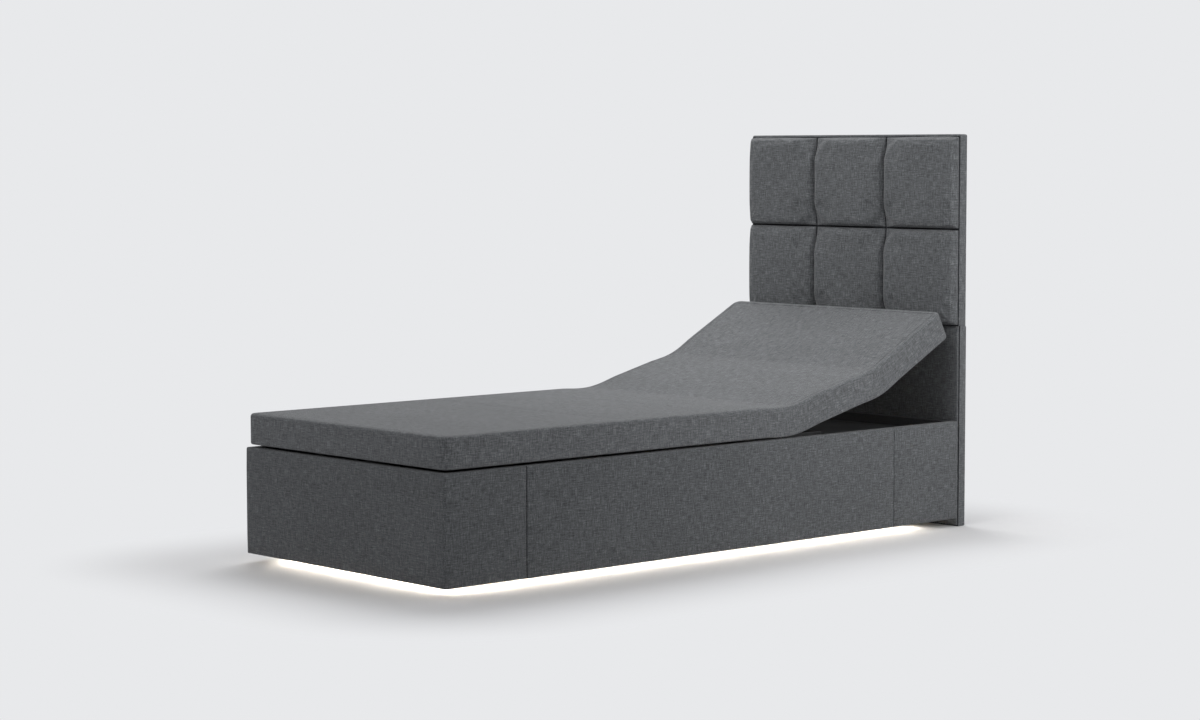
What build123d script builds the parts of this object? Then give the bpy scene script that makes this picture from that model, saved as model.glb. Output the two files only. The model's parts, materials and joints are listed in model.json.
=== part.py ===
"""Adjustable bed base: upholstered surround, five hinged deck sections, twin drive, full headboard.

Millimetres. X across the bed, Y from foot to head, Z up; the floor is Z = 0.
Lengths named *_y are measured from the foot face and moved to the frame by FOOT_Y.
The back is stored raised, the legs flat.
"""
from math import asin, cos, degrees, radians, sin, tan
import os

from build123d import *

os.makedirs("parts", exist_ok=True)

# Surround
BASE_W = 900.0
BASE_L = 2030.0
FLOOR_GAP = 26.0
RIM_Z = 328.0
PANEL_T = 28.0
CORNER_R = 8.0
RIM_R = 7.0
SEAM = 0.8
FOOT_RETURN_L = 280.0
HEAD_RETURN_L = 294.0
PANEL_IN = BASE_W / 2 - PANEL_T
PANEL_H = RIM_Z - FLOOR_GAP

# Headboard
BOARD_T = 29.0
LOWER_PAD_T = 6.0
BOARD_H = 1209.0
PAD_UPPER_H = 287.0
PAD_LOWER_H = 298.0
PAD_ROW_2 = BOARD_H - PAD_UPPER_H
PAD_ROW_1 = PAD_ROW_2 - PAD_LOWER_H
PAD_COLUMNS = 3
PAD_EDGE = 6.5
PAD_CROWN = 19.0
PAD_JOINT = 1.0
# Pad sections as shares: inset and corner radius of the pad's short side, height of the crown
PAD_DOME = (
    (0, 0.01, -0.2),
    (0.03, 0.034, 0.36),
    (0.108, 0.081, 0.72),
    (0.23, 0.135, 0.93),
    (0.377, 0.1, 1.0),
)
BOARD_Y = BASE_L + LOWER_PAD_T
TOTAL_L = BOARD_Y + BOARD_T
FOOT_Y = -TOTAL_L / 2

# Box
TOP_BOARD_Z = 300.0
TOP_BOARD_T = 12.0
BULKHEAD_T = 18.0
BOARD_CLEAR = 60.0
GLIDE_D = 50.0
GLIDE_X = BASE_W / 2 - 250.0
STRIP_W = 12.0
STRIP_H = 6.0
STRIP_INSET = 90.0
STRIP_HEAD_GAP = 115.0
STRIP_JOINT = 0.3
BOLT_D = 8.0

# Deck
DECK_INSET = 4.0
DECK_W = BASE_W - 2 * DECK_INSET
DECK_Z = RIM_Z + 8.0
DECK_T = 88.0
DECK_TOP = DECK_Z + DECK_T
DECK_FOOT_Y = 4.0
DECK_HEAD_Y = BASE_L - 6.0
COVER_T = 16.0
DECK_BOARD_T = 12.0
BORDER_T = 26.0
BORDER_R = 9.0
BORDER_LOW_R = 6.0
PLAN_R = 26.0
HINGE_GAP = 0.75
CAVITY_W = DECK_W - 2 * BORDER_T

# Hinge lines: the sections share out the base length
BACK_HINGE_Y = BASE_L * 130 / 203
LUMBAR_L = BASE_L * 37.8 / 203
SEAT_L = BASE_L * 29 / 203
THIGH_L = BASE_L * 36 / 203
THIGH_HINGE_Y = BACK_HINGE_Y - SEAT_L
KNEE_Y = THIGH_HINGE_Y - THIGH_L
RAIL_H = 30.0
RAIL_W = 25.0
RAIL_WALL = 2.0
AXIS_Z = DECK_TOP - COVER_T - DECK_BOARD_T - RAIL_H / 2
KNEE_DROP = 25.0
KNEE_Z = AXIS_Z - KNEE_DROP
TOP_H = DECK_TOP - AXIS_Z
LOW_H = AXIS_Z - DECK_Z
BOARD_LOW = RAIL_H / 2
BOARD_TOP = BOARD_LOW + DECK_BOARD_T
REST = 14.0
RAISE = 32.0
CALF_RATIO = 1.15
BEVEL = tan(radians(RAISE / 2 + 0.6))
KNEE_BEVEL = tan(radians(RAISE * CALF_RATIO / 2 + 0.6))

# Rails, plates and pins across the bed
RAIL_INSET = 115.0
RAIL_X = BASE_W / 2 - RAIL_INSET
PLATE_T = 6.0
PLATE_R = 14.0
PIN_D = 8.0
FIT = 0.05
PIN_HEAD_D = 15.0
PIN_HEAD_T = 4.0
INNER_X = RAIL_X - PLATE_T
OUTER_X = RAIL_X + RAIL_W
END_GAP = 16.0

# Lift shafts
SHAFT_U = 60.0
SHAFT_DROP = 42.0
SHAFT_D = 30.0
SHAFT_WALL = 2.5
ARM_L = 220.0
ARM_T = 8.0
ARM_HUB_R = 22.0
SHOE_R = 16.0
SHOE_W = 22.0
ARM_RATIO = 1.2075
ARM_SLACK = 0.38
SHAFT_Z = AXIS_Z - SHAFT_DROP
BACK_SHAFT_Y = BACK_HINGE_Y + SHAFT_U
LEG_SHAFT_Y = THIGH_HINGE_Y - SHAFT_U
FOOT_BOARD_END_Y = LEG_SHAFT_Y - BOARD_CLEAR
HEAD_BOARD_START_Y = BACK_SHAFT_Y + BOARD_CLEAR
ARM_FLAT = degrees(asin((SHAFT_DROP - RAIL_H / 2 - SHOE_R) / ARM_L))
ARM_BACK_REST = ARM_FLAT + ARM_RATIO * REST - degrees(ARM_SLACK / ARM_L)
ARM_LEG_REST = ARM_FLAT - degrees(ARM_SLACK / ARM_L)
ARM_X = RAIL_X + RAIL_W / 2

# Tilt rods and calf links
ROD_E = 9.0
ROD_T = 5.0
ROD_EYE_R = 7.0
ROD_W = 10.0
STUD_D = 6.0
ROD_X = OUTER_X + PLATE_T + 7.0
ROD_SLACK = 0.75
LINK_FOOT_U = 178.0
LINK_FOOT_DROP = 42.3
LINK_HEAD_S = 140.0
LINK_HEAD_DROP = 35.0
LINK_T = 6.0
LINK_R = 13.0
LINK_STUD_D = 10.0
LINK_SLACK = 0.75
LINK_Y = THIGH_HINGE_Y - LINK_FOOT_U
LINK_Z = AXIS_Z - LINK_FOOT_DROP
CALF_STUD_Y = KNEE_Y - LINK_HEAD_S
CALF_STUD_Z = KNEE_Z - LINK_HEAD_DROP

# Chassis and drive
CHASSIS_W = 30.0
CHASSIS_H = 22.0
CHASSIS_X = RAIL_X - 53.0
CHASSIS_FOOT_Y = LINK_Y - 132.0
CHASSIS_HEAD_Y = BACK_SHAFT_Y + 200.0
CHASSIS_EAR_R = CHASSIS_H / 2 - 1
CHASSIS_OUT = CHASSIS_X + CHASSIS_W
OUTRIGGER_L = 40.0
LINK_X = CHASSIS_OUT + 4.0
DRIVE_W = 140.0
DRIVE_R = 27.0
DRIVE_LOW_Z = 236.0
MOTOR_D = 62.0
MOTOR_L = 95.0


def at(y):
    """Frame Y of a length measured from the foot face."""
    return FOOT_Y + y


def side(y, z, angle=0.0, x=0.0):
    """Sketch plane seen from +X: its x runs along a deck section, its y out of the deck."""
    turn = radians(angle)
    return Plane(origin=(x, at(y), z), x_dir=(0, cos(turn), sin(turn)), z_dir=(1, 0, 0))


def section(y, z, angle, u, x):
    """Sketch plane across a rail, u along its deck section."""
    turn = radians(angle)
    place = (x, at(y) + u * cos(turn), z + u * sin(turn))
    return Plane(origin=place, x_dir=(1, 0, 0), z_dir=(0, cos(turn), sin(turn)))


def save(builder, name):
    builder.part.label = name
    export_step(builder.part, f"parts/{name}.step")


HEAD_HINGE_Y = BACK_HINGE_Y + LUMBAR_L * cos(radians(REST))
HEAD_HINGE_Z = AXIS_Z + LUMBAR_L * sin(radians(REST))
BACK_L = DECK_HEAD_Y - BACK_HINGE_Y - LUMBAR_L
CALF_L = KNEE_Y - DECK_FOOT_Y

# Upholstered surround: mitred foot module, long sides, head module
CORNER_C = BASE_W / 2 - CORNER_R
CORNER_P = CORNER_C + CORNER_R * sin(radians(45))
CORNER_Q = CORNER_R * (1 - cos(radians(45)))

with BuildPart() as foot_panel:
    with BuildSketch(Plane((0, FOOT_Y, FLOOR_GAP))):
        with BuildLine():
            Polyline((CORNER_P, CORNER_Q), (PANEL_IN, PANEL_T), (-PANEL_IN, PANEL_T), (-CORNER_P, CORNER_Q))
            CenterArc((-CORNER_C, CORNER_R), CORNER_R, 225, 45)
            Line((-CORNER_C, 0), (CORNER_C, 0))
            CenterArc((CORNER_C, CORNER_R), CORNER_R, 270, 45)
        make_face()
    extrude(amount=PANEL_H)
    foot_rim = foot_panel.edges().group_by(Axis.Z)[-1]
    fillet(foot_rim.filter_by(lambda e: e.center().Y < FOOT_Y + CORNER_Q + 0.1), RIM_R)
save(foot_panel, "foot_panel")

with BuildPart() as foot_return_right:
    with BuildSketch(Plane((0, FOOT_Y, FLOOR_GAP))):
        with BuildLine():
            Polyline(
                (BASE_W / 2, CORNER_R),
                (BASE_W / 2, FOOT_RETURN_L - SEAM / 2),
                (PANEL_IN, FOOT_RETURN_L - SEAM / 2),
                (PANEL_IN, PANEL_T),
                (CORNER_P, CORNER_Q),
            )
            CenterArc((CORNER_C, CORNER_R), CORNER_R, 315, 45)
        make_face()
    extrude(amount=PANEL_H)
    fillet(foot_return_right.edges().filter_by(Axis.Z).filter_by(
        lambda e: e.center().X > CORNER_C and e.center().Y > FOOT_Y + PANEL_T), 2)
    return_rim = foot_return_right.edges().group_by(Axis.Z)[-1]
    fillet(return_rim.filter_by(lambda e: e.center().X > CORNER_P - 0.1), RIM_R)
save(foot_return_right, "foot_return_right")

with BuildPart() as foot_return_left:
    mirror(foot_return_right.part, about=Plane.YZ)
save(foot_return_left, "foot_return_left")

SIDE_START = FOOT_RETURN_L + SEAM / 2
SIDE_END = BASE_L - HEAD_RETURN_L - SEAM / 2
with BuildPart() as side_panel_right:
    with BuildSketch(Plane((0, 0, FLOOR_GAP))):
        with Locations((BASE_W / 2 - PANEL_T / 2, at((SIDE_START + SIDE_END) / 2))):
            Rectangle(PANEL_T, SIDE_END - SIDE_START)
    extrude(amount=PANEL_H)
    fillet(side_panel_right.edges().filter_by(Axis.Z).group_by(Axis.X)[-1], 2)
    fillet(side_panel_right.edges().group_by(Axis.Z)[-1].sort_by(Axis.X)[-3:], RIM_R)
save(side_panel_right, "side_panel_right")

with BuildPart() as side_panel_left:
    mirror(side_panel_right.part, about=Plane.YZ)
save(side_panel_left, "side_panel_left")

HEAD_START = BASE_L - HEAD_RETURN_L + SEAM / 2
with BuildPart() as head_return_right:
    with BuildSketch(Plane((0, 0, FLOOR_GAP))):
        with Locations((BASE_W / 2 - PANEL_T / 2, at((HEAD_START + BASE_L) / 2))):
            Rectangle(PANEL_T, BASE_L - HEAD_START)
    extrude(amount=PANEL_H)
    fillet(head_return_right.edges().filter_by(Axis.Z).group_by(Axis.X)[-1], 2)
    fillet(head_return_right.edges().group_by(Axis.Z)[-1].sort_by(Axis.X)[-3:], RIM_R)
save(head_return_right, "head_return_right")

with BuildPart() as head_return_left:
    mirror(head_return_right.part, about=Plane.YZ)
save(head_return_left, "head_return_left")

BOLT_X = BASE_W / 3
BOLT_ZS = (110.0, 245.0)
BOLT_SPOTS = [(x, z) for x in (-BOLT_X, BOLT_X) for z in BOLT_ZS]
HEAD_FACE = Plane(origin=(0, at(BASE_L), 0), x_dir=(-1, 0, 0), z_dir=(0, 1, 0))
with BuildPart() as head_panel:
    with BuildSketch(Plane((0, 0, FLOOR_GAP))):
        with Locations((0, at(BASE_L - PANEL_T / 2))):
            Rectangle(2 * PANEL_IN, PANEL_T)
    extrude(amount=PANEL_H)
    with Locations(HEAD_FACE):
        with Locations(*BOLT_SPOTS):
            Hole(BOLT_D / 2 + 0.4, depth=PANEL_T)
save(head_panel, "head_panel")

# Inner box: bulkheads at the module seams, recessed top boards, glides, light strips
with BuildPart() as bulkhead_foot:
    with BuildSketch(Plane((0, 0, FLOOR_GAP))):
        with Locations((0, at(FOOT_RETURN_L - BULKHEAD_T / 2))):
            Rectangle(2 * PANEL_IN, BULKHEAD_T)
    extrude(amount=TOP_BOARD_Z - TOP_BOARD_T - FLOOR_GAP)
save(bulkhead_foot, "bulkhead_foot")

with BuildPart() as bulkhead_head:
    mirror(bulkhead_foot.part, about=Plane.XZ.offset(-at((FOOT_RETURN_L + BASE_L - HEAD_RETURN_L) / 2)))
save(bulkhead_head, "bulkhead_head")

with BuildPart() as top_board_foot:
    with BuildSketch(Plane((0, 0, TOP_BOARD_Z - TOP_BOARD_T))):
        with Locations((0, at((PANEL_T + FOOT_BOARD_END_Y) / 2))):
            Rectangle(2 * PANEL_IN, FOOT_BOARD_END_Y - PANEL_T)
    extrude(amount=TOP_BOARD_T)
save(top_board_foot, "top_board_foot")

HEAD_BOARD_END_Y = BASE_L - PANEL_T
with BuildPart() as top_board_head:
    with BuildSketch(Plane((0, 0, TOP_BOARD_Z - TOP_BOARD_T))):
        with Locations((0, at((HEAD_BOARD_START_Y + HEAD_BOARD_END_Y) / 2))):
            Rectangle(2 * PANEL_IN, HEAD_BOARD_END_Y - HEAD_BOARD_START_Y)
    extrude(amount=TOP_BOARD_T)
save(top_board_head, "top_board_head")

GLIDE_YS = (FOOT_RETURN_L - BULKHEAD_T / 2, BASE_L - HEAD_RETURN_L + BULKHEAD_T / 2)
with BuildPart() as glide_feet:
    with Locations(*[(x, at(y), 0) for x in (-GLIDE_X, GLIDE_X) for y in GLIDE_YS]):
        Cylinder(GLIDE_D / 2, 9, align=(Align.CENTER, Align.CENTER, Align.MIN))
    with Locations(*[(x, at(y), 9) for x in (-GLIDE_X, GLIDE_X) for y in GLIDE_YS]):
        Cone(GLIDE_D / 2 - 5, 12, FLOOR_GAP - 9, align=(Align.CENTER, Align.CENTER, Align.MIN))
    chamfer(glide_feet.edges().filter_by(GeomType.CIRCLE).group_by(Axis.Z)[0], 1.5)
save(glide_feet, "glide_feet")

# Light strips: three lengths butted to a U, hung under the bulkheads and set back from the panels
STRIP_X = BASE_W / 2 - STRIP_INSET
STRIP_START_Y = STRIP_INSET + STRIP_W / 2 + STRIP_JOINT
STRIP_END_Y = BASE_L - STRIP_HEAD_GAP
with BuildPart() as light_strips:
    with BuildSketch(Plane((0, 0, FLOOR_GAP - STRIP_H))):
        with Locations((0, at(STRIP_INSET))):
            Rectangle(2 * STRIP_X + STRIP_W, STRIP_W)
        with Locations(*[(x, at((STRIP_START_Y + STRIP_END_Y) / 2)) for x in (-STRIP_X, STRIP_X)]):
            Rectangle(STRIP_W, STRIP_END_Y - STRIP_START_Y)
    extrude(amount=STRIP_H)
save(light_strips, "light_strips")

# Headboard: board to the floor, thicker behind the six crowned pads, flat lower pad, bolts
with BuildPart() as headboard_board:
    with BuildSketch(Plane((0, 0, 0))):
        with Locations((0, at(BOARD_Y + BOARD_T / 2))):
            Rectangle(BASE_W, BOARD_T)
    extrude(amount=BOARD_H)
    with BuildSketch(Plane((0, 0, PAD_ROW_1))):
        with Locations((0, at(BASE_L + LOWER_PAD_T / 2))):
            Rectangle(BASE_W, LOWER_PAD_T)
    extrude(amount=BOARD_H - PAD_ROW_1)
    board_ends = headboard_board.edges().filter_by(Axis.Y).group_by(Axis.Z)
    fillet(board_ends[0] + board_ends[-1], 6)
    fillet(headboard_board.faces().sort_by(Axis.Y)[-1].edges(), 5)
    with Locations(HEAD_FACE.offset(LOWER_PAD_T)):
        with Locations(*BOLT_SPOTS):
            Hole(BOLT_D / 2 + FIT, depth=BOARD_T - 8)
save(headboard_board, "headboard_board")

with BuildPart() as headboard_lower_pad:
    with BuildSketch(Plane((0, 0, 4))):
        with Locations((0, at(BASE_L + LOWER_PAD_T / 2))):
            Rectangle(BASE_W, LOWER_PAD_T)
    extrude(amount=PAD_ROW_1 - PAD_JOINT - 4)
    fillet(headboard_lower_pad.faces().sort_by(Axis.Y)[0].edges(), 3)
    with Locations(HEAD_FACE.offset(LOWER_PAD_T)):
        with Locations(*BOLT_SPOTS):
            Hole(BOLT_D / 2 + 0.4, depth=LOWER_PAD_T)
save(headboard_lower_pad, "headboard_lower_pad")

PAD_W = BASE_W / PAD_COLUMNS
for row, low, high in (("lower", PAD_ROW_1, PAD_ROW_2), ("upper", PAD_ROW_2, BOARD_H)):
    for column, word in enumerate(("left", "centre", "right")):
        wide = PAD_W - PAD_JOINT
        tall = high - low - PAD_JOINT
        short = min(wide, tall)
        middle = ((column - (PAD_COLUMNS - 1) / 2) * PAD_W, at(BASE_L), (low + high) / 2)
        face = Plane(origin=middle, x_dir=(1, 0, 0), z_dir=(0, -1, 0))
        with BuildPart() as headboard_pad:
            with BuildSketch(face):
                RectangleRounded(wide, tall, PAD_DOME[0][1] * short)
            extrude(amount=PAD_EDGE + PAD_DOME[0][2] * PAD_CROWN)
            for inset, radius, rise in PAD_DOME:
                with BuildSketch(face.offset(PAD_EDGE + rise * PAD_CROWN)):
                    RectangleRounded(wide - 2 * inset * short, tall - 2 * inset * short, radius * short)
            loft()
        save(headboard_pad, f"headboard_pad_{row}_{word}")

BOLT_L = PANEL_T + LOWER_PAD_T + BOARD_T - 10
with BuildPart() as headboard_bolts:
    with Locations(HEAD_FACE.offset(-PANEL_T)):
        with Locations(*BOLT_SPOTS):
            Cylinder(BOLT_D / 2, BOLT_L, align=(Align.CENTER, Align.CENTER, Align.MIN))
            Cylinder(9, 2, align=(Align.CENTER, Align.CENTER, Align.MAX))
    with BuildSketch(HEAD_FACE.offset(-PANEL_T - 2)):
        with Locations(*BOLT_SPOTS):
            RegularPolygon(7.5, 6)
    extrude(amount=-5.5)
save(headboard_bolts, "headboard_bolts")


# Deck covers: padded top and border in one upholstered tray over each deck board
def long_edges(face, run, ends):
    """Edges of a cover's top or bottom face along its length, with the rounded end if it has one."""
    rim = face.edges().sort_by(run)
    if ends == "head":
        return rim[1:]
    if ends == "foot":
        return rim[:-1]
    return face.edges().filter_by(run)


COVERS = (
    ("seat", BACK_HINGE_Y, AXIS_Z, 0.0, "", (
        (-SEAT_L + HINGE_GAP, -LOW_H),
        (-HINGE_GAP, -LOW_H),
        (-HINGE_GAP, 0),
        (-HINGE_GAP - TOP_H * BEVEL, TOP_H),
        (-SEAT_L + HINGE_GAP + TOP_H * BEVEL, TOP_H),
        (-SEAT_L + HINGE_GAP, 0),
    ), (-SEAT_L, 0)),
    ("lumbar", BACK_HINGE_Y, AXIS_Z, REST, "", (
        (HINGE_GAP, -LOW_H),
        (LUMBAR_L - HINGE_GAP, -LOW_H),
        (LUMBAR_L - HINGE_GAP, 0),
        (LUMBAR_L - HINGE_GAP - TOP_H * BEVEL, TOP_H),
        (HINGE_GAP + TOP_H * BEVEL, TOP_H),
        (HINGE_GAP, 0),
    ), (0, LUMBAR_L)),
    ("back", HEAD_HINGE_Y, HEAD_HINGE_Z, 2 * REST, "head", (
        (HINGE_GAP, -LOW_H),
        (BACK_L, -LOW_H),
        (BACK_L, TOP_H),
        (HINGE_GAP + TOP_H * BEVEL, TOP_H),
        (HINGE_GAP, 0),
    ), (0, BACK_L - BORDER_T)),
    ("thigh", THIGH_HINGE_Y, AXIS_Z, 0.0, "", (
        (-HINGE_GAP, -LOW_H),
        (-THIGH_L + HINGE_GAP + (LOW_H - KNEE_DROP) * KNEE_BEVEL, -LOW_H),
        (-THIGH_L + HINGE_GAP, -KNEE_DROP),
        (-THIGH_L + HINGE_GAP, TOP_H),
        (-HINGE_GAP - TOP_H * BEVEL, TOP_H),
        (-HINGE_GAP, 0),
    ), (-THIGH_L, 0)),
    ("calf", KNEE_Y, AXIS_Z, 0.0, "foot", (
        (-HINGE_GAP - (LOW_H - KNEE_DROP) * KNEE_BEVEL, -LOW_H),
        (-CALF_L, -LOW_H),
        (-CALF_L, TOP_H),
        (-HINGE_GAP, TOP_H),
        (-HINGE_GAP, -KNEE_DROP),
    ), (-CALF_L + BORDER_T, 0)),
)
for word, hinge_y, hinge_z, angle, ends, profile, hollow in COVERS:
    turn = radians(angle)
    normal = Axis((0, 0, 0), (0, -sin(turn), cos(turn)))
    run = Axis((0, 0, 0), (0, cos(turn), sin(turn)))
    with BuildPart() as deck_cover:
        with BuildSketch(side(hinge_y, hinge_z, angle, -DECK_W / 2)):
            with BuildLine():
                Polyline(*profile, close=True)
            make_face()
        extrude(amount=DECK_W)
        uprights = deck_cover.edges().filter_by(normal).sort_by(run)
        if ends == "head":
            fillet(uprights[-2:], PLAN_R)
        if ends == "foot":
            fillet(uprights[:2], PLAN_R)
        fillet(long_edges(deck_cover.faces().sort_by(normal)[-1], run, ends), BORDER_R)
        fillet(long_edges(deck_cover.faces().sort_by(normal)[0], run, ends), BORDER_LOW_R)
        with BuildSketch(side(hinge_y, hinge_z, angle, -CAVITY_W / 2)):
            with BuildLine():
                Polyline(
                    (hollow[0], -LOW_H - 1),
                    (hollow[1], -LOW_H - 1),
                    (hollow[1], BOARD_TOP),
                    (hollow[0], BOARD_TOP),
                    close=True,
                )
            make_face()
        extrude(amount=CAVITY_W, mode=Mode.SUBTRACT)
    save(deck_cover, f"{word}_cover")

    # The board inside the tray, clear of the hinge bevels
    start = hollow[0] + (0 if ends == "foot" else HINGE_GAP + BOARD_TOP * BEVEL)
    end = hollow[1] - (0 if ends == "head" else HINGE_GAP + BOARD_TOP * BEVEL)
    with BuildPart() as deck_board:
        with BuildSketch(side(hinge_y, hinge_z, angle, -CAVITY_W / 2)):
            with Locations(((start + end) / 2, (BOARD_LOW + BOARD_TOP) / 2)):
                Rectangle(end - start, DECK_BOARD_T)
        extrude(amount=CAVITY_W)
        breathe = section(hinge_y, hinge_z, angle, (start + end) / 2, 0).rotated((90, 0, 0))
        with BuildSketch(breathe):
            with GridLocations(CAVITY_W / 7, 1, 5, 1):
                SlotOverall(90, 28, rotation=90)
        extrude(amount=BOARD_TOP + 1, both=True, mode=Mode.SUBTRACT)
    save(deck_board, f"{word}_board")


# Section rails: steel tubes with hinge plates, right side first
def lug(plane, spots, hole_spots=()):
    """Plate outline: the hull of circles (u, z, radius), with round holes (u, z, radius)."""
    with BuildSketch(plane) as outline:
        for u, z, radius in spots:
            with Locations((u, z)):
                Circle(radius)
        make_hull()
        for u, z, radius in hole_spots:
            with Locations((u, z)):
                Circle(radius, mode=Mode.SUBTRACT)
    return outline.sketch


def tube(plane):
    """Outline of a rectangular rail tube."""
    with BuildSketch(plane) as outline:
        RectangleRounded(RAIL_W, RAIL_H, 3)
        RectangleRounded(RAIL_W - 2 * RAIL_WALL, RAIL_H - 2 * RAIL_WALL, 1.2, mode=Mode.SUBTRACT)
    return outline.sketch


PIN_HOLE = PIN_D / 2 + FIT
with BuildPart() as seat_rail_right:
    extrude(tube(section(THIGH_HINGE_Y, AXIS_Z, 0, END_GAP, ARM_X)), amount=SEAT_L - 2 * END_GAP)
    extrude(lug(side(THIGH_HINGE_Y, AXIS_Z, 0, OUTER_X), [(0, 0, PLATE_R), (SEAT_L, 0, PLATE_R)],
                [(0, 0, PIN_HOLE), (SEAT_L, 0, PIN_HOLE)]), amount=PLATE_T)
    with BuildSketch(side(BACK_HINGE_Y, AXIS_Z, 0, OUTER_X + PLATE_T)):
        with Locations((0, -ROD_E)):
            Circle(STUD_D / 2)
    extrude(amount=ROD_X + ROD_T + 1.5 - OUTER_X - PLATE_T)
save(seat_rail_right, "seat_rail_right")

LUMBAR_AT = (BACK_HINGE_Y, AXIS_Z, REST)
with BuildPart() as lumbar_rail_right:
    extrude(tube(section(*LUMBAR_AT, END_GAP, ARM_X)), amount=LUMBAR_L - 2 * END_GAP)
    extrude(lug(side(*LUMBAR_AT, INNER_X), [(0, 0, PLATE_R), (110, 0, PLATE_R)],
                [(0, 0, PIN_HOLE)]), amount=PLATE_T)
    extrude(lug(side(*LUMBAR_AT, OUTER_X), [(LUMBAR_L, 0, PLATE_R), (LUMBAR_L - 110, 0, PLATE_R)],
                [(LUMBAR_L, 0, PIN_HOLE)]), amount=PLATE_T)
save(lumbar_rail_right, "lumbar_rail_right")

TILT_X = OUTER_X + PLATE_T + 0.5
BACK_AT = (HEAD_HINGE_Y, HEAD_HINGE_Z, 2 * REST)
with BuildPart() as back_rail_right:
    extrude(tube(section(*BACK_AT, END_GAP, ARM_X)), amount=BACK_L - BORDER_T - END_GAP - 6)
    extrude(lug(side(*BACK_AT, INNER_X), [(0, 0, PLATE_R), (110, 0, PLATE_R)],
                [(0, 0, PIN_HOLE)]), amount=PLATE_T)
    extrude(lug(side(*BACK_AT, OUTER_X), [(40, 0, 11), (76, 0, 11)]), amount=TILT_X - OUTER_X)
    extrude(lug(side(*BACK_AT, TILT_X), [(0, ROD_E, 5.5), (76, 0, 11)]), amount=ROD_T)
    with BuildSketch(side(*BACK_AT, TILT_X + ROD_T)):
        with Locations((0, ROD_E)):
            Circle(STUD_D / 2)
    extrude(amount=ROD_X + 1.5 - TILT_X)
save(back_rail_right, "back_rail_right")

with BuildPart() as thigh_rail_right:
    extrude(tube(section(KNEE_Y, AXIS_Z, 0, END_GAP, ARM_X)), amount=THIGH_L - 2 * END_GAP)
    extrude(lug(side(THIGH_HINGE_Y, AXIS_Z, 0, INNER_X), [(0, 0, PLATE_R), (-110, 0, PLATE_R)],
                [(0, 0, PIN_HOLE)]), amount=PLATE_T)
    extrude(lug(side(KNEE_Y, AXIS_Z, 0, OUTER_X),
                [(0, -KNEE_DROP, PLATE_R - 1), (60, 0, PLATE_R), (110, 0, PLATE_R)],
                [(0, -KNEE_DROP, PIN_HOLE)]), amount=PLATE_T)
save(thigh_rail_right, "thigh_rail_right")

with BuildPart() as calf_rail_right:
    extrude(tube(section(DECK_FOOT_Y + BORDER_T + 6, AXIS_Z, 0, 0, ARM_X)),
            amount=CALF_L - BORDER_T - 6 - END_GAP)
    extrude(lug(side(KNEE_Y, AXIS_Z, 0, INNER_X),
                [(0, -KNEE_DROP, PLATE_R - 1), (-60, 0, PLATE_R), (-110, 0, PLATE_R)],
                [(0, -KNEE_DROP, PIN_HOLE)]), amount=PLATE_T)
    extrude(lug(side(CALF_STUD_Y, AXIS_Z, 0, INNER_X),
                [(0, CALF_STUD_Z - AXIS_Z, 12), (-34, 0, PLATE_R), (34, 0, PLATE_R)]), amount=PLATE_T)
    with BuildSketch(side(CALF_STUD_Y, CALF_STUD_Z, 0, INNER_X)):
        Circle(LINK_STUD_D / 2)
    extrude(amount=LINK_X - 2 - INNER_X)
save(calf_rail_right, "calf_rail_right")

# Pins: one node for each body that carries them
for word, spots in (
    ("seat_hinge_pins", ((BACK_HINGE_Y, AXIS_Z), (THIGH_HINGE_Y, AXIS_Z))),
    ("lumbar_hinge_pins", ((HEAD_HINGE_Y, HEAD_HINGE_Z),)),
    ("knee_pins", ((KNEE_Y, KNEE_Z),)),
):
    with BuildPart() as hinge_pins:
        for pin_y, pin_z in spots:
            with BuildSketch(side(pin_y, pin_z, 0, INNER_X - 1)):
                Circle(PIN_D / 2)
            extrude(amount=OUTER_X + PLATE_T - INNER_X + 1)
            with BuildSketch(side(pin_y, pin_z, 0, INNER_X - 0.4)):
                Circle(PIN_HEAD_D / 2)
            extrude(amount=-PIN_HEAD_T)
            with BuildSketch(side(pin_y, pin_z, 0, RAIL_X + 0.4)):
                Circle(PIN_D / 2 + 2.5)
            extrude(amount=RAIL_W - 0.4)
        mirror(about=Plane.YZ)
    save(hinge_pins, word)

# Lift shafts with welded arms whose nylon shoes bear on the rails
for word, shaft_y, angle, way in (
    ("back", BACK_SHAFT_Y, ARM_BACK_REST, 1),
    ("leg", LEG_SHAFT_Y, -ARM_LEG_REST, -1),
):
    with BuildPart() as lift_tube:
        with BuildSketch(side(shaft_y, SHAFT_Z, 0, 0)):
            Circle(SHAFT_D / 2)
            Circle(SHAFT_D / 2 - SHAFT_WALL, mode=Mode.SUBTRACT)
        extrude(amount=ARM_X + ARM_T / 2 + 3, both=True)
    save(lift_tube, f"{word}_lift_tube")
    with BuildPart() as lift_arm:
        extrude(lug(side(shaft_y, SHAFT_Z, angle, ARM_X - ARM_T / 2),
                    [(0, 0, ARM_HUB_R), (way * ARM_L, 0, SHOE_R - 3)],
                    [(0, 0, SHAFT_D / 2 + FIT)]), amount=ARM_T)
        with BuildSketch(side(shaft_y, SHAFT_Z, angle, ARM_X - SHOE_W / 2)):
            with Locations((way * ARM_L, 0)):
                Circle(SHOE_R)
        extrude(amount=SHOE_W)
        with BuildSketch(side(shaft_y, SHAFT_Z, angle, ARM_X - ARM_T / 2)):
            with Locations((way * ARM_L * 0.52, 0)):
                SlotCenterToCenter(70, 12)
        extrude(amount=ARM_T, mode=Mode.SUBTRACT)
        chamfer(lift_arm.edges().filter_by(GeomType.CIRCLE).filter_by(
            lambda e: abs(abs(e.center().X - ARM_X) - SHOE_W / 2) < 0.1), 2)
    save(lift_arm, f"{word}_lift_arm_right")
    with BuildPart() as lift_arm_left:
        mirror(lift_arm.part, about=Plane.YZ)
    save(lift_arm_left, f"{word}_lift_arm_left")

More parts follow.
